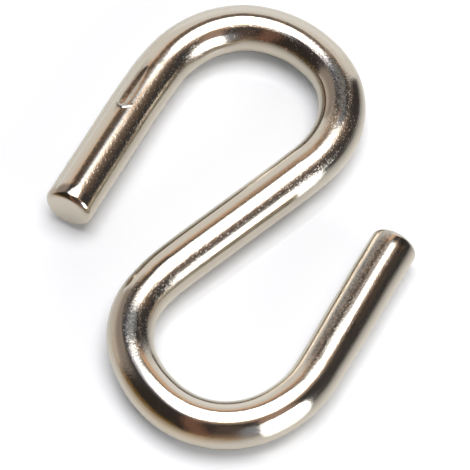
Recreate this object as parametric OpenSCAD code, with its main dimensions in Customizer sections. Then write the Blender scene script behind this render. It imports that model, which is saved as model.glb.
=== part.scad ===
// S hook: one round wire, cut to length and bent cold into two open hooks.
// The hook lies flat, but for its upper leg, which has sprung up a little. +Y is the line of
// pull, from the lower bend's centre to the upper bend's centre, and +Z is up. The origin is
// on the surface that the hook lies on, below the middle of the hook's outline.

/* [Wire] */
// Diameter of the wire
wire_d = 4; // [2:0.1:8]
// Length of the straight stem between the two bends
stem_len = 16; // [6:0.1:60]
// How much bending drew the wire down, off its radius, round the bends
thinning = 0.03; // [0.01:0.005:0.1]

/* [Upper hook] */
// Inside radius of the upper bend
upper_bend_r = 5.9; // [3:0.1:20]
// Angle that the wire turns through in the upper bend
upper_turn = 200; // [160:1:215]
// Length of the straight leg from the upper bend to its cut end
upper_leg = 16.2; // [10:0.1:24]
// Angle that the upper leg springs up off the surface that the hook lies on
upper_spring = 1.4; // [0:0.1:4]

/* [Lower hook] */
// Inside radius of the lower bend
lower_bend_r = 5.8; // [3:0.1:20]
// Angle that the wire turns through in the lower bend
lower_turn = 200; // [160:1:215]
// Length of the straight leg from the lower bend to its cut end
lower_leg = 14.8; // [4:0.1:24]

/* [Cut ends] */
// Radius that tumbling left on the rim of each cut end
rim_r = 0.3; // [0.1:0.05:0.8]

/* [Tool mark] */
// Distance from the upper bend to the mark's blunt end, along the upper leg
mark_from_bend = 6.2; // [4:0.1:8]
// Length of the mark, from its blunt end to where it runs out towards the bend
mark_len = 4.3; // [2:0.1:6]
// Depth of the mark at its blunt end
mark_depth = 0.22; // [0.05:0.01:0.4]
// Radius of the tool's round edge, which sets the mark's width
mark_r = 0.6; // [0.3:0.05:1.5]
// Angle from the top of the leg round to the mark, towards the outside of the bend
mark_side = 9; // [0:1:60]

/* [Hidden] */

$fn = 96;
plating = [0.78, 0.75, 0.70];

wire_r = wire_d / 2;
// How far the stem and the legs reach into the bends that they run into
run_in = 0.1;
upper_path_r = upper_bend_r + wire_r;
lower_path_r = lower_bend_r + wire_r;

// The stem is first drawn along +X about its middle, and lean turns the line of pull on to +Y.
lean = 90 - atan2(upper_path_r + lower_path_r, stem_len);
// How far the mark's tool climbs over the mark's length
mark_slope = atan(mark_depth / mark_len);

// How far the upper leg reaches in plan
upper_leg_plan = upper_leg * cos(upper_spring);

function turned(p, a) = [p.x * cos(a) - p.y * sin(a), p.x * sin(a) + p.y * cos(a)];

// The cut end of a leg, in the stem's frame: path_r and turn shape the bend before it.
function cut_end(path_r, turn, leg) =
    [stem_len / 2 + path_r * sin(turn) + leg * cos(turn),
     path_r * (1 - cos(turn)) + leg * sin(turn)];

// How far a hook reaches sideways from the origin of the stem's frame, once turned upright:
// as far as its leg's outer corner or its bend's outer side, whichever is further.
function side_reach(path_r, turn, leg) =
    max(-turned(cut_end(path_r, turn, leg), lean).x + wire_r * abs(sin(turn + lean)),
        -turned([stem_len / 2, path_r], lean).x + path_r + wire_r);

// How far a hook reaches along the line of pull
function pull_reach(path_r) = turned([stem_len / 2, path_r], lean).y + path_r + wire_r;

middle = [(side_reach(lower_path_r, lower_turn, lower_leg)
           - side_reach(upper_path_r, upper_turn, upper_leg_plan)) / 2,
          (pull_reach(upper_path_r) - pull_reach(lower_path_r)) / 2];

// A straight leg along +X from its bend, with the rim of its cut end rounded
module leg(length) {
    translate([-run_in, 0, 0]) rotate([0, 90, 0]) rotate_extrude() {
        square([wire_r - rim_r, run_in + length]);
        square([wire_r, run_in + length - rim_r]);
        translate([wire_r - rim_r, run_in + length - rim_r]) circle(rim_r);
    }
}

// Puts its children at the far end of a bend that starts at the origin along +X
module past_bend(path_r, turn) {
    translate([0, path_r, 0]) rotate(turn) translate([0, -path_r, 0]) children();
}

// Lifts the far end of its children, which run along +X, and keeps their near end off the surface
module sprung(spring) {
    translate([0, 0, run_in * sin(spring)]) rotate([0, -spring, 0]) children();
}

// A bend and its leg, starting at the origin along +X and turning to the left
module hook_end(path_r, turn, leg_len, spring = 0) {
    translate([0, path_r, 0]) rotate_extrude(angle = turn, start = -90)
        translate([path_r, 0]) circle(wire_r - thinning);
    past_bend(path_r, turn) sprung(spring) leg(leg_len);
}

// The dent that a tool left: a round-nosed groove that runs out towards the bend
module tool_mark() {
    rotate([mark_side, 0, 0])
        translate([mark_from_bend, 0, wire_r - mark_depth + mark_r])
            rotate([0, mark_slope, 0]) {
                sphere(mark_r);
                rotate([0, -90, 0]) cylinder(h = mark_len + mark_r, r = mark_r);
            }
}

module s_hook() {
    color(plating) translate([-middle.x, -middle.y, wire_r]) rotate(lean) difference() {
        union() {
            rotate([0, 90, 0]) cylinder(h = stem_len + 2 * run_in, r = wire_r, center = true);
            translate([stem_len / 2, 0, 0])
                hook_end(upper_path_r, upper_turn, upper_leg, upper_spring);
            rotate(180) translate([stem_len / 2, 0, 0])
                hook_end(lower_path_r, lower_turn, lower_leg);
        }
        translate([stem_len / 2, 0, 0])
            past_bend(upper_path_r, upper_turn) sprung(upper_spring) tool_mark();
    }
}

s_hook();
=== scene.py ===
import math

import bpy
import numpy as np
from mathutils import Matrix, Vector


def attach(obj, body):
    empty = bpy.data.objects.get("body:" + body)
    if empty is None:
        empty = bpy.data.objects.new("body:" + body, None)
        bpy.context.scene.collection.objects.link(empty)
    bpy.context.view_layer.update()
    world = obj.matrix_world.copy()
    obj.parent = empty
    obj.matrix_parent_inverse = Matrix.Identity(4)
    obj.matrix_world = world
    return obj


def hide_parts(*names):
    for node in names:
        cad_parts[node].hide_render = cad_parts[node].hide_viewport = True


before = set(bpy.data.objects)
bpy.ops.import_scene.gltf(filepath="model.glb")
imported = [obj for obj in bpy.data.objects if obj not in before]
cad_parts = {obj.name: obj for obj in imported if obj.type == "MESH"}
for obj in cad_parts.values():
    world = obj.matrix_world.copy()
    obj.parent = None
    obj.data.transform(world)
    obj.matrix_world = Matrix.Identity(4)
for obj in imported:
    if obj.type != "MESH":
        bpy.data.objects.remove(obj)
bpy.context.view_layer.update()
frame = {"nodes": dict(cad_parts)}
mm = 0.001
scene = bpy.context.scene
print("frame loaded:", ", ".join(frame["nodes"]))


# The camera looks down on the hook from the -Y side.
camera = {
    "target": (0.355, -1.343, 2.0),    # mm, the point that the middle of the view is on
    "turn": 2.233,                     # degrees, round towards +X
    "rise": 58.108,                    # degrees above the floor
    "roll": 1.999,                     # degrees
    "distance": 400.0,                 # mm
    "lens": 375.99,                    # mm
    "sensor": 36.0,                    # mm wide
    "near": 0.01,                      # m: it sees nothing nearer than this
    "far": 50.0,                       # or further off than this
}


def placeCamera(values):
    turn = math.radians(values["turn"])
    rise = math.radians(values["rise"])
    roll = math.radians(values["roll"])
    back = Vector((math.cos(rise) * math.sin(turn), -math.cos(rise) * math.cos(turn), math.sin(rise)))
    level = Vector((math.cos(turn), math.sin(turn), 0))
    upright = back.cross(level)
    right = level * math.cos(roll) + upright * math.sin(roll)
    top = upright * math.cos(roll) - level * math.sin(roll)
    data = bpy.data.cameras.new("camera")
    data.sensor_width = values["sensor"]
    data.lens = values["lens"]
    data.clip_start = values["near"]
    data.clip_end = values["far"]
    holder = bpy.data.objects.new("camera", data)
    matrix = Matrix((right, top, back)).transposed().to_4x4()
    matrix.translation = (Vector(values["target"]) + back * values["distance"]) * mm
    holder.matrix_world = matrix
    scene.collection.objects.link(holder)
    scene.camera = holder


placeCamera(camera)
scene.view_settings.view_transform = "Standard"
print("camera placed")


def calc(tree, operation, first, second=None, clamp=False):
    # one Math node: each value is a number or another node's output
    node = tree.nodes.new("ShaderNodeMath")
    node.operation = operation
    node.use_clamp = clamp
    for slot, value in zip(node.inputs, (first, second)):
        if value is None:
            continue
        if isinstance(value, (int, float)):
            slot.default_value = value
        else:
            tree.links.new(value, slot)
    return node.outputs[0]


def ramp(tree, value, low, high, newLow=0.0, newHigh=1.0, smooth=True):
    # value between low and high becomes newLow to newHigh, and stays there beyond them
    node = tree.nodes.new("ShaderNodeMapRange")
    node.interpolation_type = "SMOOTHSTEP" if smooth else "LINEAR"
    tree.links.new(value, node.inputs["Value"])
    node.inputs["From Min"].default_value = low
    node.inputs["From Max"].default_value = high
    node.inputs["To Min"].default_value = newLow
    node.inputs["To Max"].default_value = newHigh
    return node.outputs["Result"]


def blendColor(tree, amount, first, second):
    # the Mix node keeps its color sockets at 6 and 7, and the mixed color at output 2
    node = tree.nodes.new("ShaderNodeMix")
    node.data_type = "RGBA"
    node.clamp_factor = True
    for slot, value in ((node.inputs[0], amount), (node.inputs[6], first), (node.inputs[7], second)):
        if isinstance(value, (int, float)):
            slot.default_value = value
        elif isinstance(value, (tuple, list)):
            slot.default_value = (*value, 1.0)
        else:
            tree.links.new(value, slot)
    return node.outputs[2]


# The room round the table, as the plating mirrors it. Directions are compass bearings in
# degrees, where 0 is +Y and 90 is +X, and heights above the table's edge in degrees.
studio = {
    "surround": (0.047, 0.043, 0.044),
    "beyondTable": 1.0,                # what the camera sees past the table
    # Each card is lit below a line through these (bearing, height) points, and above "low"
    # where that is given. "soft" is how many degrees its edge is spread over. A later card
    # covers an earlier one.
    "cards": [
        {"name": "door", "light": (0.036, 0.031, 0.029), "soft": 8,
         "line": [(150, -90), (154, 40), (160, 62), (262, 62), (270, 40), (273, -90)]},
        {"name": "door frame", "light": (0.095, 0.070, 0.062), "soft": 14,
         "line": [(154, -90), (160, 46), (168, 56), (182, 54), (190, -90)]},
        {"name": "door foot", "light": (0.22, 0.15, 0.115), "soft": 16,
         "line": [(156, -90), (160, 14), (186, 14), (192, -90)]},
        {"name": "chair", "light": (0.205, 0.11, 0.078), "soft": 9,
         "line": [(186, -90), (189, 12), (195, 32), (201, 52), (206, 66), (215, 69), (224, 64), (230, -90)]},
        {"name": "door past the chair", "light": (0.034, 0.029, 0.026), "soft": 9,
         "line": [(202, -90), (206, 4), (211, 24), (218, 42), (226, 58), (236, 62), (262, 61), (270, 40),
                  (273, -90)]},
        {"name": "wall", "light": (0.32, 0.28, 0.26), "soft": 12,
         "line": [(267, -90), (271, 26), (276, 38), (284, 45), (300, 48), (330, 47), (338, -90)]},
        {"name": "wall foot", "light": (0.62, 0.57, 0.53), "soft": 26,
         "line": [(268, -90), (274, 12), (300, 14), (320, 7), (330, -90)]},
        {"name": "clothLight", "light": (0.20, 0.12, 0.035), "soft": 8,
         "line": [(212, -90), (218, 4), (240, 7), (268, 8), (272, -90)]},
        {"name": "sweep rim", "light": (0.78, 0.52, 0.35), "soft": 4,
         "line": [(318, -90), (321, 10), (324, 27), (329, 37), (336, 44), (345, 48), (352, 53), (0, 56),
                  (8, 55), (15, 50), (21, 44), (27, 37), (31, 20), (34, -90)]},
        {"name": "sweep", "light": (0.82, 0.82, 0.815), "soft": 8,
         "line": [(316, -90), (319, 6), (322, 20), (328, 31), (336, 38), (345, 41), (352, 44), (0, 46),
                  (8, 43), (16, 38), (26, 34), (34, 28), (39, 14), (43, -90)]},
        {"name": "sweep middle", "light": (0.94, 0.96, 0.99), "soft": 14,
         "line": [(330, -90), (338, 12), (350, 28), (5, 30), (18, 26), (28, 6), (34, -90)]},
        {"name": "daylight", "light": (0.95, 1.06, 1.14), "soft": 3,
         "line": [(314, -90), (317, 3), (326, 3), (329, -90)]},
        {"name": "arm", "light": (0.36, 0.23, 0.14), "soft": 3, "low": 24,
         "line": [(40, -90), (44, 56), (48, 56), (60, 53), (68, 47), (74, 38), (77, 30), (79, 20),
                  (81, -90)]},
        {"name": "behind the arm", "light": (0.047, 0.043, 0.044), "soft": 3,
         "line": [(41, -90), (46, 53), (49, 53), (57, 50.5), (65, 44), (72, 35), (76, 27), (79, 15),
                  (81, -90)]},
        {"name": "blind", "light": (0.43, 0.29, 0.24), "soft": 8, "low": 37,
         "line": [(107, -90), (109, 48), (111, 56), (114, 59), (124, 60), (134, 56), (141, 48), (149, -90)]},
        {"name": "window", "light": (4.2, 4.4, 4.7), "soft": 7,
         "line": [(107, -90), (109, 14), (111, 24), (116, 30), (125, 32), (134, 32), (141, 28), (144, 18),
                  (147, -90)]},
        {"name": "curtain", "light": (0.24, 0.26, 0.31), "soft": 8,
         "line": [(145, -90), (148, 36), (156, 34), (160, 24), (163, -90)]},
    ],
    # the lamps overhead are lit above their lines
    "lamps": [
        {"name": "lamp glow", "light": (0.40, 0.30, 0.24), "soft": 16,
         "line": [(0, 74), (30, 64), (60, 49), (90, 50), (125, 56), (150, 62), (180, 68), (210, 68),
                  (240, 70), (280, 72), (330, 76), (360, 74)]},
        {"name": "lamp rim", "light": (0.92, 0.66, 0.46), "soft": 6,
         "line": [(24, 90), (35, 58), (55, 52.5), (75, 57), (100, 60), (120, 65), (150, 71), (180, 73),
                  (210, 71), (228, 71), (236, 90)]},
        {"name": "lamp's cool rim", "light": (0.72, 0.76, 0.95), "soft": 8,
         "line": [(218, 90), (228, 71), (240, 68), (280, 64), (300, 57.5), (325, 57), (345, 90)]},
        {"name": "lamp's end", "light": (0.46, 0.50, 0.60), "soft": 5,
         "line": [(2, 90), (8, 58), (18, 56), (30, 58), (38, 90)]},
        {"name": "softbox", "light": (4.4, 4.45, 4.6), "soft": 4,
         "line": [(0, 62.3), (12, 62.5), (22, 61), (32, 59.3), (45, 58), (55, 57.8), (75, 61),
                  (100, 64.5), (120, 70.5), (150, 75), (180, 77), (210, 74.5), (240, 71.5), (280, 69),
                  (300, 64.5), (330, 62), (360, 62.3)]},
    ],
}


def outlineHeight(tree, bearing, middle, points):
    # the height of a smooth line through the points, at a bearing counted from the middle one
    node = tree.nodes.new("ShaderNodeFloatCurve")
    curve = node.mapping.curves[0]
    places = [(((point[0] - middle + 180) % 360) / 360, (point[1] + 90) / 180) for point in points]
    if points[-1][0] - points[0][0] == 360:
        places[-1] = (1.0, places[-1][1])       # a whole turn ends where it began
    for index, place in enumerate(places):
        point = curve.points[index] if index < 2 else curve.points.new(*place)
        point.location = place
        point.handle_type = "AUTO_CLAMPED"
    node.mapping.update()
    tree.links.new(calc(tree, "ADD", calc(tree, "DIVIDE", bearing, 360), 0.5), node.inputs["Value"])
    return calc(tree, "SUBTRACT", calc(tree, "MULTIPLY", node.outputs[0], 180), 90)


def lightRoom(values):
    world = bpy.data.worlds.new("studio")
    scene.world = world
    world.use_nodes = True
    tree = world.node_tree
    tree.nodes.clear()
    place = tree.nodes.new("ShaderNodeTexCoord")
    split = tree.nodes.new("ShaderNodeSeparateXYZ")
    tree.links.new(place.outputs["Generated"], split.inputs[0])
    east, north, up = split.outputs
    height = calc(tree, "MULTIPLY", calc(tree, "ARCSINE", up), 180 / math.pi)
    color = values["surround"]
    for card in values["cards"] + values["lamps"]:
        points = card["line"]
        first = points[0][0]
        last = points[-1][0]
        wholeTurn = last - first == 360
        middle = first + (180 if wholeTurn else (last - first) % 360 / 2)
        turn = math.radians(middle)
        # the direction turned so that the card's middle is ahead
        ahead = calc(tree, "ADD", calc(tree, "MULTIPLY", north, math.cos(turn)),
                     calc(tree, "MULTIPLY", east, math.sin(turn)))
        aside = calc(tree, "SUBTRACT", calc(tree, "MULTIPLY", east, math.cos(turn)),
                     calc(tree, "MULTIPLY", north, math.sin(turn)))
        bearing = calc(tree, "MULTIPLY", calc(tree, "ARCTAN2", aside, ahead), 180 / math.pi)
        over = calc(tree, "SUBTRACT", height, outlineHeight(tree, bearing, middle, points))
        soft = card["soft"] / 2
        if card in values["lamps"]:
            mask = ramp(tree, over, -soft, soft)
        else:
            mask = ramp(tree, over, -soft, soft, 1, 0)
        if "low" in card:
            mask = calc(tree, "MULTIPLY", mask, ramp(tree, height, card["low"] - soft, card["low"] + soft))
        color = blendColor(tree, mask, color, card["light"])
    rays = tree.nodes.new("ShaderNodeLightPath")
    color = blendColor(tree, rays.outputs["Is Camera Ray"], color, (values["beyondTable"],) * 3)
    background = tree.nodes.new("ShaderNodeBackground")
    tree.links.new(color, background.inputs["Color"])
    output = tree.nodes.new("ShaderNodeOutputWorld")
    tree.links.new(background.outputs[0], output.inputs["Surface"])


lightRoom(studio)
print("studio lit:", len(studio["cards"]), "cards and", len(studio["lamps"]), "lamps")


# The table is white to the camera. The wire mirrors it as it is lit, a little darker.
table = {
    "halfWidth": 1500.0,               # mm
    "color": (0.87, 0.90, 0.89),       # as the wire mirrors it and as it lights the wire
    "seenColor": 1.0,                  # as the camera sees it
    "seenGlow": (0.085, 0.105, 0.117),  # added for the camera alone
    "roughness": 0.12,
    "ior": 1.5,
    "grazing": 0.55,                   # how much more it mirrors the room at a low angle
    # towards one side it is tinted with painted light from the cloth that hangs there, but not for the
    # camera
    "clothLightColor": (0.80, 0.56, 0.24),
    "clothLightBearing": 212.0,             # degrees
    "clothLightFrom": 20.0,                 # mm from the hook's middle
    "clothLightTo": 62.0,
}


def layTable(values):
    half = values["halfWidth"] * mm
    mesh = bpy.data.meshes.new("table")
    corners = [(-half, -half, 0), (half, -half, 0), (half, half, 0), (-half, half, 0)]
    mesh.from_pydata(corners, [], [(0, 1, 2, 3)])
    floor = bpy.data.objects.new("table", mesh)
    scene.collection.objects.link(floor)
    material = bpy.data.materials.new("tablePaper")
    material.use_nodes = True
    tree = material.node_tree
    shader = tree.nodes["Principled BSDF"]
    shader.inputs["Roughness"].default_value = values["roughness"]
    shader.inputs["IOR"].default_value = values["ior"]
    place = tree.nodes.new("ShaderNodeTexCoord")
    split = tree.nodes.new("ShaderNodeSeparateXYZ")
    tree.links.new(place.outputs["Object"], split.inputs[0])
    bearing = math.radians(values["clothLightBearing"])
    away = calc(tree, "ADD", calc(tree, "MULTIPLY", split.outputs[0], math.sin(bearing)),
                calc(tree, "MULTIPLY", split.outputs[1], math.cos(bearing)))
    # painted light from the cloth: the wire mirrors the table tinted this way, the camera sees it white
    clothLight = ramp(tree, away, values["clothLightFrom"] * mm, values["clothLightTo"] * mm, smooth=False)
    clothLight = calc(tree, "SQRT", clothLight)
    color = blendColor(tree, clothLight, values["color"], values["clothLightColor"])
    rays = tree.nodes.new("ShaderNodeLightPath")
    color = blendColor(tree, rays.outputs["Is Camera Ray"], color, (values["seenColor"],) * 3)
    tree.links.new(color, shader.inputs["Base Color"])
    shader.inputs["Emission Color"].default_value = (*values["seenGlow"], 1)
    tree.links.new(rays.outputs["Is Camera Ray"], shader.inputs["Emission Strength"])
    facing = tree.nodes.new("ShaderNodeLayerWeight")
    sheen = calc(tree, "MULTIPLY", calc(tree, "POWER", facing.outputs["Facing"], 2), values["grazing"])
    sheen = calc(tree, "MULTIPLY", sheen, calc(tree, "SUBTRACT", 1, rays.outputs["Is Camera Ray"]))
    tree.links.new(sheen, shader.inputs["Metallic"])
    mesh.materials.append(material)


layTable(table)
print("table laid")


# The wire: one length of round wire, cut and bent cold into two open hooks. Distances
# along it run from the upper hook's cut end to the lower hook's.
wire = {
    "diameter": 4.0,                   # mm, as are the rest of the lengths
    "stem": 16.0,
    "stemMiddle": (0.370, -0.085),     # where the middle of the stem lies
    "upperBend": 5.9,                  # inside radius
    "upperTurn": 200.0,                # degrees
    "upperLeg": 16.2,
    "lowerBend": 5.8,
    "lowerTurn": 200.0,
    "lowerLeg": 14.8,
    "ease": 0.9,                       # how far the curve eases into each bend
    "thinning": 0.03,                  # off the radius, round the bends
    "rim": 0.50,                       # radius of the rounded rim at each cut end
    "rollLength": 1.4,                 # the shears pull the top edge of each end down, from here
    "rollDrop": 0.15,                  # and by this much at the end
    "rollTurn": 0.25,                  # most at this many radians right of the top
    "crown": 0.02,                     # how far the middle of a cut end stands out
    "faceRings": 12,                   # rings over each cut face
    "rimRings": 11,                    # and over each rim
    "innermost": 0.03,                 # of the face's radius, the ring at its middle
    "step": 0.16,                      # between rings
    "fineStep": 0.06,                  # between rings round the tool mark
    "fine": (8.8, 16.0),               # from here to here along the wire
    "crowding": 0.6,                   # how strongly points crowd round the wire to the mark
    "crowdingRun": 0.8,                # over which that comes in
    "sides": 96,                       # points round a ring
    # unevenness left by the bending: (distance along, mm)
    # sideways, towards the left of the way along
    "sway": [(0, -0.1), (5, -0.01), (9, 0.045), (12, 0.09), (14.5, 0.06), (17, -0.08), (19, -0.13),
             (22, -0.07), (25, -0.01), (28, -0.05), (31, -0.02), (33, 0.09), (35, 0.17), (37, 0.14),
             (39, 0.08), (41, 0), (43, -0.04), (47, 0), (52, -0.03), (57, -0.06), (59, -0.03), (61, 0.05),
             (64, 0.0), (66, 0.03), (68, 0.12), (70, 0.2), (72, 0.15), (74, 0), (76, -0.13), (78, -0.18),
             (80, -0.14), (82, -0.04), (84, 0.04), (86, 0.01), (88, -0.05), (91, -0.03), (93, 0),
             (96, 0.06), (98, 0.1), (102, 0.11)],
    "lift": [(0, 0.396), (5, 0.274), (10, 0.152), (14, 0.054), (18.5, 0), (102, 0)],        # upwards
    # of the radius
    "girth": [(0, 1.03), (12, 1.035), (19, 1.03), (26, 0.985), (33, 0.97), (37, 1.0), (40, 1.02),
              (48, 1.012), (56, 1.01), (63, 0.99), (69, 0.955), (74, 0.99), (84, 0.985),
              (88.5, 0.965), (93, 0.99), (102, 0.995)],
    # The wire's surface leans a little in places. It stands in for lamps that are close to the
    # hook: those of the world are endlessly far off, and would show at other heights on the
    # bends. A lean is strongest at "at" radians left of the top, and fades over "width". The
    # surface comes back by "share" round "backAt". "degrees" are pairs as above.
    "leans": [
        {"at": 0.09, "width": 0.175, "share": 0.5, "backAt": 0.87, "backWidth": 0.35,
         "degrees": [(1, -4), (10, -3.5), (14, -0.8), (17, -1), (20, -2), (24, 0), (27, -1.5),
                     (30, -3), (33, -4.5), (36, -2), (40, 0), (64, 0), (67, 3), (69, 5), (71, 7.5),
                     (73, 6), (75, 5), (77, 4), (79, 3.5), (81, 4), (85, 3), (88, 0)]},
        {"at": -0.68, "width": 0.19, "share": 0.6, "backAt": -1.28, "backWidth": 0.3,
         "degrees": [(78, 0), (80.5, 5), (85, 5), (87.5, 0)]},
        {"at": -1.2, "width": 0.19, "share": 0.6, "backAt": -1.8, "backWidth": 0.3,
         "degrees": [(17.5, 0), (19.3, -8), (22.6, -8), (24.5, 0)]},
    ],
}


def eased(pairs, at):
    # a smooth curve through the pairs, flat beyond them
    places = np.array([p[0] for p in pairs], float)
    values = np.array([p[1] for p in pairs], float)
    index = np.clip(np.searchsorted(places, at) - 1, 0, len(places) - 2)
    part = np.clip((at - places[index]) / (places[index + 1] - places[index]), 0, 1)
    # the slope at each pair never carries the curve past its neighbours
    rise = np.diff(values) / np.diff(places)
    before = np.append(rise[0], rise)
    after = np.append(rise, rise[-1])
    together = before * after > 0
    slopes = np.where(together, 2 * before * after / np.where(together, before + after, 1), 0)
    span = places[index + 1] - places[index]
    a = 2 * part ** 3 - 3 * part ** 2 + 1
    b = part ** 3 - 2 * part ** 2 + part
    c = part ** 3 - part ** 2
    start = a * values[index] + b * span * slopes[index]
    return start + (1 - a) * values[index + 1] + c * span * slopes[index + 1]


def halfPath(bend, turn, leg, values, step=0.02):
    # the path in fine steps from the stem's middle along +X, round the bend and down the leg
    radius = bend + values["diameter"] / 2
    turn = math.radians(turn)
    whole = values["stem"] / 2 + radius * turn + leg
    distance = np.linspace(0, whole, round(whole / step) + 1)
    spacing = distance[1]
    heading = np.clip((distance - values["stem"] / 2) / radius, 0, turn)
    bending = ((distance > values["stem"] / 2) & (distance < whole - leg)).astype(float)
    reach = round(values["ease"] / spacing)
    window = np.full(2 * reach + 1, 1 / (2 * reach + 1))
    heading = np.convolve(np.pad(heading, reach, mode="edge"), window, "valid")
    bending = np.convolve(np.pad(bending, reach, mode="edge"), window, "valid")
    middle = (heading[1:] + heading[:-1]) / 2
    x = np.concatenate([[0], np.cumsum(np.cos(middle))]) * spacing
    y = np.concatenate([[0], np.cumsum(np.sin(middle))]) * spacing
    return distance, np.column_stack([x, y]), heading, bending


def finePath(values):
    upper = halfPath(values["upperBend"], values["upperTurn"], values["upperLeg"], values)
    lower = halfPath(values["lowerBend"], values["lowerTurn"], values["lowerLeg"], values)
    along = np.concatenate([upper[0][-1] - upper[0][::-1], upper[0][-1] + lower[0][1:]])
    flat = np.vstack([upper[1][::-1], -lower[1][1:]])
    heading = np.concatenate([upper[2][::-1], lower[2][1:]]) + math.pi
    bending = np.concatenate([upper[3][::-1], lower[3][1:]])
    radius = values["diameter"] / 2
    lean = math.pi / 2 - math.atan2(values["upperBend"] + values["lowerBend"] + 2 * radius, values["stem"])
    heading = heading + lean
    x = flat[:, 0] * math.cos(lean) - flat[:, 1] * math.sin(lean) + values["stemMiddle"][0]
    y = flat[:, 0] * math.sin(lean) + flat[:, 1] * math.cos(lean) + values["stemMiddle"][1]
    sway = eased(values["sway"], along)
    x = x - np.sin(heading) * sway
    y = y + np.cos(heading) * sway
    z = radius + eased(values["lift"], along)
    return along, np.column_stack([x, y, z]), bending


def ringPlaces(whole, values):
    # where the rings go: crowded on the rounded rims, over the cut faces and at the tool mark
    crown = values["crown"]
    rim = values["rim"]
    inwards = np.linspace(1 - values["innermost"], 0, values["faceRings"])
    end = [crown * (1 - k) ** 2 for k in inwards]
    overRim = np.linspace(math.pi / 2, 0, values["rimRings"])[1:]
    end = end + [crown + rim * (1 - math.sin(a)) for a in overRim]
    first, last = values["fine"]
    start = end[-1]
    stop = whole - start
    places = list(np.linspace(start, first, round((first - start) / values["step"]), endpoint=False)[1:])
    places += list(np.linspace(first, last, round((last - first) / values["fineStep"]), endpoint=False))
    places += list(np.linspace(last, stop, round((stop - last) / values["step"]), endpoint=False))
    return np.array(end + places + [whole - e for e in end[::-1]])


def group(name, inputs, outputs):
    tree = bpy.data.node_groups.new(name, "GeometryNodeTree")
    for label, kind in inputs:
        tree.interface.new_socket(label, in_out="INPUT", socket_type=kind)
    for label, kind in outputs:
        tree.interface.new_socket(label, in_out="OUTPUT", socket_type=kind)
    return tree, tree.nodes.new("NodeGroupInput"), tree.nodes.new("NodeGroupOutput")


def drawnWireTree():
    # sweeps a round section along the path, thinner in the bends and rounded off at the ends
    tree, inlet, outlet = group("drawnWire", [
        ("Path", "NodeSocketGeometry"), ("Wire Radius", "NodeSocketFloat"),
        ("Bend Thinning", "NodeSocketFloat"), ("Rim Radius", "NodeSocketFloat"),
        ("Crown", "NodeSocketFloat"), ("Innermost Ring", "NodeSocketFloat"),
        ("Sides", "NodeSocketInt"), ("Material", "NodeSocketMaterial")],
        [("Wire", "NodeSocketGeometry")])
    link = tree.links.new
    new = tree.nodes.new
    curve = new("GeometryNodeMeshToCurve")
    link(inlet.outputs["Path"], curve.inputs["Mesh"])
    place = new("GeometryNodeSplineParameter")
    whole = new("GeometryNodeSplineLength")
    toEnd = calc(tree, "MINIMUM", place.outputs["Length"],
                 calc(tree, "SUBTRACT", whole.outputs["Length"], place.outputs["Length"]))
    crown = inlet.outputs["Crown"]
    rim = inlet.outputs["Rim Radius"]
    bend = new("GeometryNodeInputNamedAttribute")
    bend.data_type = "FLOAT"
    bend.inputs["Name"].default_value = "bend"
    girth = new("GeometryNodeInputNamedAttribute")
    girth.data_type = "FLOAT"
    girth.inputs["Name"].default_value = "girth"
    body = calc(tree, "MULTIPLY", inlet.outputs["Wire Radius"], girth.outputs["Attribute"])
    body = calc(tree, "SUBTRACT", body, calc(tree, "MULTIPLY", inlet.outputs["Bend Thinning"],
                                             bend.outputs["Attribute"]))
    # over the rim the section follows a quarter circle, over the crown a low dome
    intoRim = calc(tree, "DIVIDE", calc(tree, "SUBTRACT", toEnd, crown), rim, clamp=True)
    falling = calc(tree, "SUBTRACT", 1, intoRim)
    root = calc(tree, "SQRT", calc(tree, "SUBTRACT", 1, calc(tree, "POWER", falling, 2), clamp=True))
    onRim = calc(tree, "SUBTRACT", body, calc(tree, "MULTIPLY", rim, calc(tree, "SUBTRACT", 1, root)))
    intoCrown = calc(tree, "SQRT", calc(tree, "DIVIDE", toEnd, crown, clamp=True))
    intoCrown = calc(tree, "MAXIMUM", intoCrown, inlet.outputs["Innermost Ring"])
    onCrown = calc(tree, "MULTIPLY", calc(tree, "SUBTRACT", body, rim), intoCrown)
    isCrown = calc(tree, "LESS_THAN", toEnd, crown)
    section = calc(tree, "ADD", calc(tree, "MULTIPLY", onCrown, isCrown),
                   calc(tree, "MULTIPLY", onRim, calc(tree, "SUBTRACT", 1, isCrown)))
    upright = new("GeometryNodeSetCurveNormal")
    upright.mode = "Z_UP"
    link(curve.outputs["Curve"], upright.inputs["Curve"])
    ring = new("GeometryNodeCurvePrimitiveCircle")
    ring.inputs["Radius"].default_value = 1.0
    link(inlet.outputs["Sides"], ring.inputs["Resolution"])
    sweep = new("GeometryNodeCurveToMesh")
    sweep.inputs["Fill Caps"].default_value = True
    link(upright.outputs["Curve"], sweep.inputs["Curve"])
    link(ring.outputs["Curve"], sweep.inputs["Profile Curve"])
    link(section, sweep.inputs["Scale"])
    real = new("GeometryNodeRealizeInstances")
    link(sweep.outputs["Mesh"], real.inputs["Geometry"])
    dress = new("GeometryNodeSetMaterial")
    link(real.outputs["Geometry"], dress.inputs["Geometry"])
    link(inlet.outputs["Material"], dress.inputs["Material"])
    link(dress.outputs["Geometry"], outlet.inputs["Wire"])
    return tree


def setInput(modifier, name, value):
    for item in modifier.node_group.interface.items_tree:
        if item.item_type == "SOCKET" and item.in_out == "INPUT" and item.name == name:
            modifier[item.identifier] = value


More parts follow.
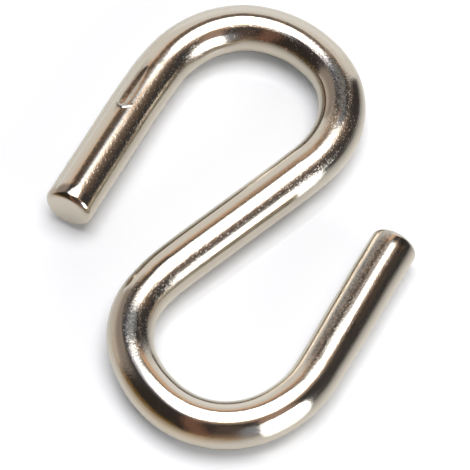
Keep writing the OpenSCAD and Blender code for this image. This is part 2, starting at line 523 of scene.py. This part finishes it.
# How the plating is finished. Sizes are in mm on the straightened wire, and a texture's scale is
# given along the wire, to the top and to the left.
plating = {
    "color": (0.70, 0.63, 0.53),
    # dull and smeared plating take these colours, and so does the painted shade of the narrow dull strips
    "dullAndShadeColor": (0.23, 0.22, 0.205),
    "smearAndShadeColor": (0.115, 0.116, 0.104),
    "roughness": 0.12,
    "wornRoughness": 0.20,
    "smearRoughness": 0.42,
    "pitRoughness": 0.34,
    # grain: fine and even, coarser where it is worn
    "grainSize": 0.11,
    "grainScale": (0.6, 1, 1),
    "grainHeight": 0.0032,
    "wornGrainHeight": 0.017,
    # mottle: it breaks up the dull places and the painted shade
    "mottleFrequency": 5.0,            # per mm
    "mottleDetail": 4.0,
    "mottleRoughness": 0.7,
    "mottleFrom": 0.36,                # the noise between these makes them between
    "mottleTo": 0.6,
    "mottleMost": 1.25,                # this many times as dull
    "mottleLeast": 0.65,               # and this many
    # lines drawn along the wire by the die
    "lineScale": (0.03, 1, 1),
    "lineFrequency": 14.0,
    "lineHeight": 0.0010,
    # pits, in worn places
    "pitSize": 0.15,                   # between pits
    "pitScale": (0.7, 1, 1),
    "pitShare": 0.5,                   # of them are left out
    "pitCore": 0.15,                   # of the distance between pits: full up to here
    "pitEdge": 0.45,                   # and gone from here
    "pitHeight": 0.003,
    # short scratches round the wire, where it is well worn
    "scratchScale": (5.0, 0.5, 0.5),
    "scratchShift": (3, 0, 0),
    "scratchFrequency": 2.0,
    "scratchFrom": 0.62,               # where the noise is above this
    "scratchFull": 0.70,
    "scratchWorn": (1, 1.6),           # the wear at which they come in, and are full
    "scratchHeight": 0.003,
}


def noise(tree, vector, scale, detail=2.0, roughness=0.5):
    node = tree.nodes.new("ShaderNodeTexNoise")
    tree.links.new(vector, node.inputs["Vector"])
    node.inputs["Scale"].default_value = scale
    node.inputs["Detail"].default_value = detail
    node.inputs["Roughness"].default_value = roughness
    return node.outputs["Fac"]


def stretched(tree, vector, scale, shift=(0, 0, 0)):
    node = tree.nodes.new("ShaderNodeMapping")
    tree.links.new(vector, node.inputs["Vector"])
    node.inputs["Scale"].default_value = scale
    node.inputs["Location"].default_value = shift
    return node.outputs["Vector"]


def pits(tree, vector, values):
    # scattered pits, 1 at their middles
    node = tree.nodes.new("ShaderNodeTexVoronoi")
    tree.links.new(vector, node.inputs["Vector"])
    node.inputs["Scale"].default_value = 1 / values["pitSize"]
    split = tree.nodes.new("ShaderNodeSeparateColor")
    tree.links.new(node.outputs["Color"], split.inputs[0])
    kept = calc(tree, "GREATER_THAN", split.outputs[0], values["pitShare"])
    depth = ramp(tree, node.outputs["Distance"], values["pitCore"], values["pitEdge"], 1, 0)
    return calc(tree, "MULTIPLY", depth, kept)


def meshValue(tree, name):
    node = tree.nodes.new("ShaderNodeAttribute")
    node.attribute_name = name
    return node.outputs["Fac"]


def platedNickel(values):
    material = bpy.data.materials.new("platedNickel")
    material.use_nodes = True
    tree = material.node_tree
    shader = tree.nodes["Principled BSDF"]
    shader.inputs["Metallic"].default_value = 1.0
    place = tree.nodes.new("ShaderNodeAttribute")
    place.attribute_name = "straight"
    vector = place.outputs["Vector"]
    worn = meshValue(tree, "worn")
    dullAndShade = meshValue(tree, "dullAndShade")
    grainVector = stretched(tree, vector, values["grainScale"])
    mottle = noise(tree, grainVector, values["mottleFrequency"], values["mottleDetail"],
                   values["mottleRoughness"])
    mottle = ramp(tree, mottle, values["mottleFrom"], values["mottleTo"], values["mottleMost"],
                  values["mottleLeast"])
    dulledAndShaded = calc(tree, "MULTIPLY", dullAndShade, mottle)
    # up to 1 it is dull, from 1 to 2 it is smeared over; the narrow strips of it are painted shade
    smearedAndShaded = ramp(tree, dulledAndShaded, 1, 2, smooth=False)
    dulledAndShaded = calc(tree, "MULTIPLY", dulledAndShaded, 1, clamp=True)
    color = blendColor(tree, dulledAndShaded, values["color"], values["dullAndShadeColor"])
    color = blendColor(tree, smearedAndShaded, color, values["smearAndShadeColor"])
    tree.links.new(color, shader.inputs["Base Color"])
    pitted = pits(tree, stretched(tree, vector, values["pitScale"]), values)
    pitted = calc(tree, "MULTIPLY", pitted, worn, clamp=True)
    rough = ramp(tree, worn, 0, 2, values["roughness"], values["wornRoughness"], smooth=False)
    rough = calc(tree, "MAXIMUM", rough, calc(tree, "MULTIPLY", smearedAndShaded, values["smearRoughness"]))
    rough = calc(tree, "MAXIMUM", rough, calc(tree, "MULTIPLY", pitted, values["pitRoughness"]))
    tree.links.new(rough, shader.inputs["Roughness"])
    grain = noise(tree, grainVector, 1 / values["grainSize"])
    grainHeight = ramp(tree, worn, 0, 2, values["grainHeight"], values["wornGrainHeight"], smooth=False)
    lines = noise(tree, stretched(tree, vector, values["lineScale"]), values["lineFrequency"])
    scratchVector = stretched(tree, vector, values["scratchScale"], values["scratchShift"])
    scratches = noise(tree, scratchVector, values["scratchFrequency"])
    scratches = ramp(tree, scratches, values["scratchFrom"], values["scratchFull"])
    scratches = calc(tree, "MULTIPLY", scratches, ramp(tree, worn, *values["scratchWorn"]))
    height = calc(tree, "MULTIPLY", grain, grainHeight)
    for layer, amount in ((lines, "lineHeight"), (scratches, "scratchHeight"), (pitted, "pitHeight")):
        height = calc(tree, "ADD", height, calc(tree, "MULTIPLY", layer, values[amount]))
    bump = tree.nodes.new("ShaderNodeBump")
    bump.inputs["Strength"].default_value = 1.0
    bump.inputs["Distance"].default_value = mm
    tree.links.new(height, bump.inputs["Height"])
    tree.links.new(bump.outputs["Normal"], shader.inputs["Normal"])
    return material


def setValues(mesh, name, numbers):
    data = mesh.attributes.new(name, "FLOAT", "POINT").data
    data.foreach_set("value", numbers.astype(np.float32).ravel())


def bendWire(values, material):
    along, fine, bending = finePath(values)
    places = ringPlaces(along[-1], values)
    points = np.column_stack([np.interp(places, along, fine[:, k]) for k in range(3)])
    mesh = bpy.data.meshes.new("wirePath")
    mesh.from_pydata((points * mm).tolist(), [(i, i + 1) for i in range(len(points) - 1)], [])
    setValues(mesh, "bend", np.interp(places, along, bending))
    setValues(mesh, "girth", eased(values["girth"], places))
    source = bpy.data.objects.new("wirePath", mesh)
    scene.collection.objects.link(source)
    modifier = source.modifiers.new("drawnWire", "NODES")
    modifier.node_group = drawnWireTree()
    setInput(modifier, "Wire Radius", values["diameter"] / 2 * mm)
    setInput(modifier, "Bend Thinning", values["thinning"] * mm)
    setInput(modifier, "Rim Radius", values["rim"] * mm)
    setInput(modifier, "Crown", values["crown"] * mm)
    setInput(modifier, "Innermost Ring", values["innermost"])
    setInput(modifier, "Sides", values["sides"])
    setInput(modifier, "Material", material)
    bpy.context.view_layer.update()
    evaluated = source.evaluated_get(bpy.context.evaluated_depsgraph_get())
    result = bpy.data.meshes.new_from_object(evaluated)
    bpy.data.objects.remove(source)
    result.name = "hookWire"
    piece = bpy.data.objects.new("hookWire", result)
    scene.collection.objects.link(piece)
    return piece, places, points


# Where the plating is marked: from and to along the wire in mm, from and to round it in degrees
# left of the top, and how much. Dull above 1 is smeared over. The broad places are dulled or
# worn by bending and handling. The narrow dull strips are painted shade that trims the lamps'
# reflections, for the reason that the leans are there, and three at the tool mark, from 10.2 to
# 14.6, are painted shade in its groove.
marks = {
    "fadeAlong": 2.0,                  # mm
    "fadeRound": 4.0,                  # degrees
    "dullAndShade": [
        (1.2, 10.2, -6, 9, 1.3), (32.5, 39.0, -18, -11, 1.3), (14.0, 33.0, -2, 5, 1.45),
        (33.0, 38.8, -11, 9, 1.75), (35.0, 40.0, 0, 14, 1.7), (10.2, 12.8, 10, 23, 1.1),
        (11.5, 14.6, 12, 24, 0.6), (10.6, 14.2, -3, 12, 0.35), (40.0, 51.0, -12, -1, 0.3),
        (62.0, 68.6, -20, -6, 1.0), (64.6, 67.4, -8, 20, 1.85), (87.5, 101.2, 5, 28, 0.75),
        (91.5, 101.2, 5, 33, 0.85), (87.0, 101.2, 29, 60, 0.12), (66.4, 69.6, 18, 45, 0.5),
        (90.0, 103.0, -32, -17, 0.6),
    ],
    "worn": [
        (0.9, 19.5, -55, -19, 1.2), (15.0, 20.0, -75, -25, 1.2), (22.5, 34.0, -62, -28, 1.0),
        (30.0, 42.0, -25, 26, 1.4), (38.0, 48.0, 20, 50, 1.6), (57.0, 63.5, 24, 60, 1.6),
        (62.5, 69.0, -20, 50, 1.2), (47.0, 58.0, 24, 38, 1.4), (68.0, 80.5, -62, -30, 0.8),
        (86.0, 101.2, -50, -18, 0.8), (86.0, 101.2, 3, 33, 1.2),
    ],
}


# The mark that a bending tool left on the upper leg: a scooped groove with a raised lip. It is
# blunt and deepest at its near end and runs out at the far one. Lengths are in mm.
toolMark = {
    "from": 10.1,                      # along the wire to its blunt end
    "length": 4.5,
    "side": 10.0,                      # degrees left of the top, to its middle
    "halfWidth": 0.49,
    "widest": 0.45,                    # of the length, where it is widest
    "depth": 0.085,
    "nearDepth": 1.6,                  # times the depth at the blunt end
    "depthLoss": 0.75,                 # and so much less at the far end
    "wall": 1.15,                      # of the half width, taken by the outer side
    "end": 0.3,                        # taken by the blunt end
    "arch": 0.5,                       # of the half width, by which the blunt end is arched
    "lip": 0.06,                       # how far the lip stands up
    "lipWidth": 0.08,
    "lipReach": 1.6,                   # half widths to each side, where it has run out
}


def ease(part):
    # from 0 to 1, with half the even slope at its start
    part = np.clip(part, 0, 1)
    return part * (0.5 + part * (1 - 0.5 * part))


def grooveShape(x, y, values):
    # height of the surface at x along and y across the groove, in mm
    half = values["halfWidth"]
    length = values["length"]
    widest = values["widest"]
    outwards = (x - widest * length) / ((1 - widest) * length)
    width = half * np.sqrt(np.clip(1 - outwards ** 2, 1e-6, 1))      # never quite zero
    place = y / width
    dish = np.minimum(ease((1 - place) / values["wall"]), ease((1 + place) / (2 - values["wall"])))
    # the near end is blunt, with an arched edge
    within = x - values["arch"] * half * (y / half) ** 2
    dish = np.minimum(dish, ease(within / values["end"]))
    dish = np.where((x < length) & (np.abs(place) < 1), dish, 0) * width / half
    ridge = np.exp(-((within + values["lipWidth"]) / values["lipWidth"]) ** 2)
    ridge = ridge * np.clip(values["lipReach"] - np.abs(y) / half, 0, 1)
    deep = values["depth"] * (values["nearDepth"] - values["depthLoss"] * x / length)
    return values["lip"] * ridge - deep * dish


def leaned(around, lean, radius):
    # how far the surface stands out, in mm, where a lean is 45 degrees
    fine = np.radians(np.arange(-180, 181))
    slope = np.exp(-((fine - lean["at"]) / lean["width"]) ** 2)
    slope = slope - lean["share"] * np.exp(-((fine - lean["backAt"]) / lean["backWidth"]) ** 2)
    return radius * np.interp(around, fine, np.cumsum(slope) * (fine[1] - fine[0]))


def shapeSection(places, radius, around, values, mark):
    # turns each ring's even circle into the wire's own section: new radius and angle of each point
    markAt = math.radians(mark["side"])
    fine = values["fine"]
    inside = np.minimum(places - fine[0], fine[1] - places)
    crowd = values["crowding"] * np.clip(inside / values["crowdingRun"], 0, 1)
    around = around - crowd[:, None] * np.sin(around - markAt)
    across = radius * (around - markAt)
    for lean in values["leans"]:
        amount = np.tan(np.radians(eased(lean["degrees"], places)))[:, None]
        radius = radius + leaned(around, lean, values["diameter"] / 2) * amount
    toEnd = np.minimum(places - places[0], places[-1] - places)
    roll = np.clip(1 - toEnd / values["rollLength"], 0, 1) ** 2
    pulled = roll * values["rollDrop"] * 2 / values["diameter"]
    radius = radius * (1 - pulled[:, None] * np.clip(np.cos(around + values["rollTurn"]), 0, 1))
    return radius + grooveShape(places[:, None] - mark["from"], across, mark), around


def markPlating(mesh, places, around, rim, values):
    # how dull and how worn the plating is at each point, the dull part also holding painted shade, and
    # neither on the cut faces
    toEnd = np.minimum(places - places[0], places[-1] - places)
    turn = np.degrees(around)
    for name in ("dullAndShade", "worn"):
        amount = np.zeros(around.shape)
        for start, stop, rightEdge, leftEdge, strength in values[name]:
            near = np.minimum(places - start, stop - places) / values["fadeAlong"]
            beside = np.minimum(turn - rightEdge, leftEdge - turn) / values["fadeRound"]
            near = np.clip(near, -0.5, 0.5) + 0.5
            beside = np.clip(beside, -0.5, 0.5) + 0.5
            amount = np.maximum(amount, strength * near[:, None] * beside)
        amount = amount * np.clip(toEnd / rim, 0, 1)[:, None]
        setValues(mesh, name, amount)


def shapeWire(piece, places, points, values):
    mesh = piece.data
    flat = np.empty(len(mesh.vertices) * 3)
    mesh.vertices.foreach_get("co", flat)
    rings = flat.reshape(len(places), values["sides"], 3) / mm
    ahead = np.gradient(points, axis=0)
    ahead /= np.linalg.norm(ahead, axis=1)[:, None]
    left = np.cross((0, 0, 1), ahead)
    left /= np.linalg.norm(left, axis=1)[:, None]
    top = np.cross(ahead, left)
    offset = rings - points[:, None]
    up = (offset * top[:, None]).sum(2)
    side = (offset * left[:, None]).sum(2)
    around = np.arctan2(side, up)      # 0 at the top, positive to the left of the way along
    radius, around = shapeSection(places, np.hypot(up, side), around, values, toolMark)
    rings = points[:, None] + radius[..., None] * (np.cos(around)[..., None] * top[:, None]
                                                    + np.sin(around)[..., None] * left[:, None])
    mesh.vertices.foreach_set("co", (rings * mm).ravel())
    # where each point is on the straightened wire, for the plating
    along = np.broadcast_to(places[:, None], radius.shape)
    straight = np.stack([along, radius * np.cos(around), radius * np.sin(around)], axis=2)
    data = mesh.attributes.new("straight", "FLOAT_VECTOR", "POINT").data
    data.foreach_set("vector", straight.astype(np.float32).ravel())
    markPlating(mesh, places, around, values["rim"], marks)
    for polygon in mesh.polygons:
        polygon.use_smooth = True
    mesh.update()


hookWire, ringAt, ringMiddle = bendWire(wire, platedNickel(plating))
shapeWire(hookWire, ringAt, ringMiddle, wire)
print("wire bent:", len(ringAt), "rings,", len(hookWire.data.polygons), "faces")

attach(hookWire, "root")
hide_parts("s_hook")
print("pieces placed")
